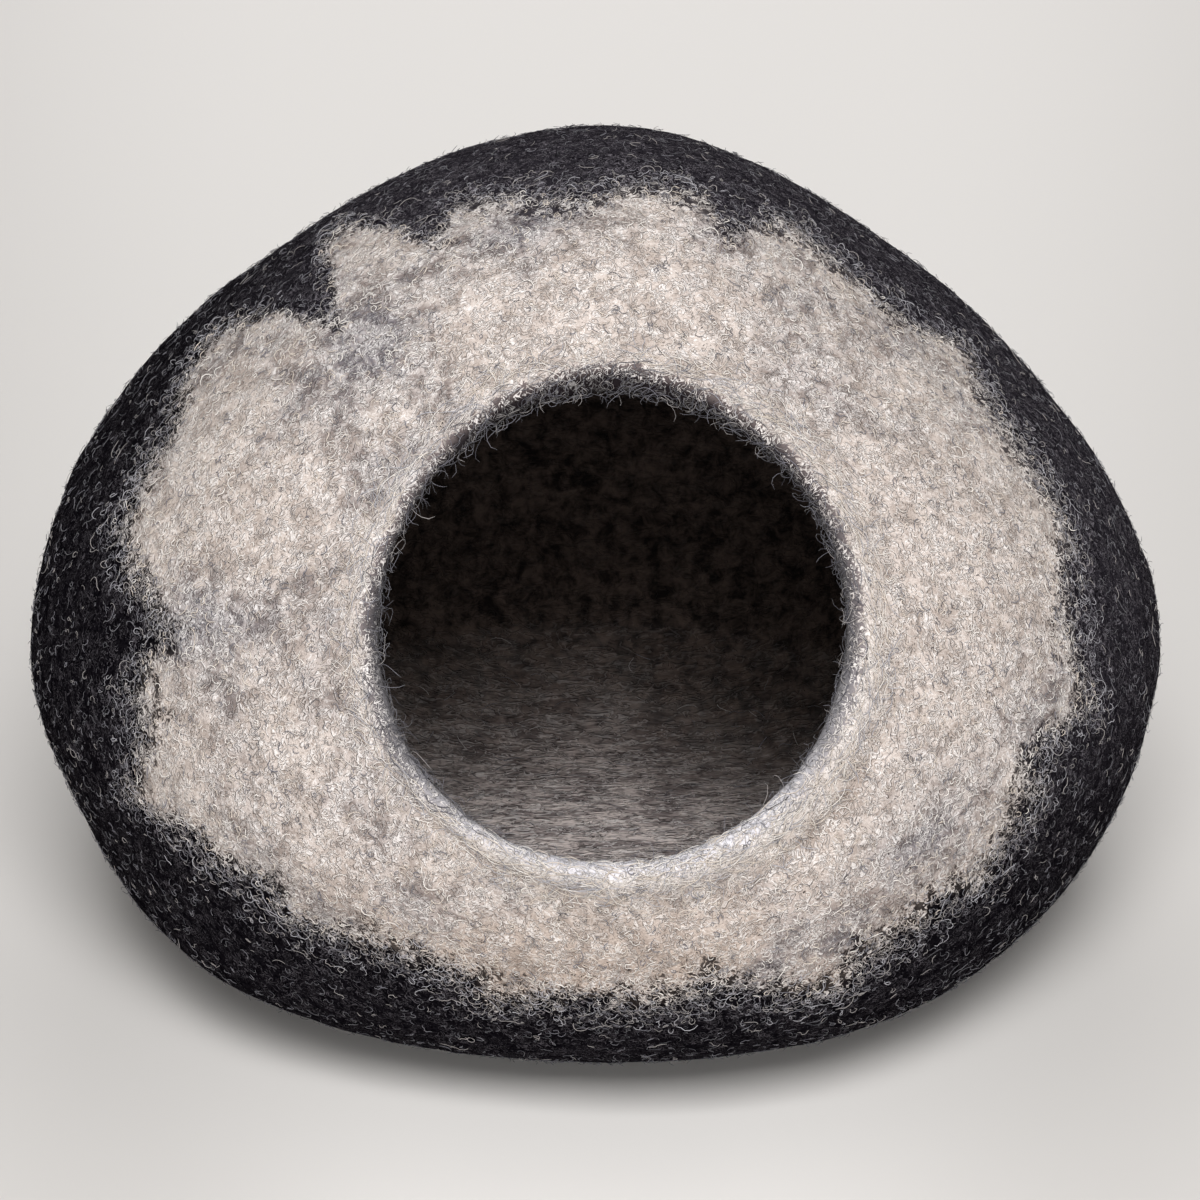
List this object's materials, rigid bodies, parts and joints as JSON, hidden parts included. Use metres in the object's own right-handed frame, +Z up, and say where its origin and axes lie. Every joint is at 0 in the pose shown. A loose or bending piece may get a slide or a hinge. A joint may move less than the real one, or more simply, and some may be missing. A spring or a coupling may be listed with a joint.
{
  "type": "felt cat cave",
  "caption": "Hollow dome of thick felted wool with a round mouth in its front, a pet bed that rests on a flat base.",
  "frame": {"origin": "on the floor, in the middle of the shell's box", "axes": "+Z up, the mouth faces -Y and a little upwards, +X to the right of someone who looks into the mouth"},
  "size_m": [0.5006, 0.4686, 0.3683],
  "materials": {
    "wool_felt": "wet-felted heathered wool, pale grey round the mouth and charcoal beyond, matt and fuzzy"
  },
  "bodies": {
    "root": {"felt_shell": "wool_felt"}
  },
  "joints": []
}
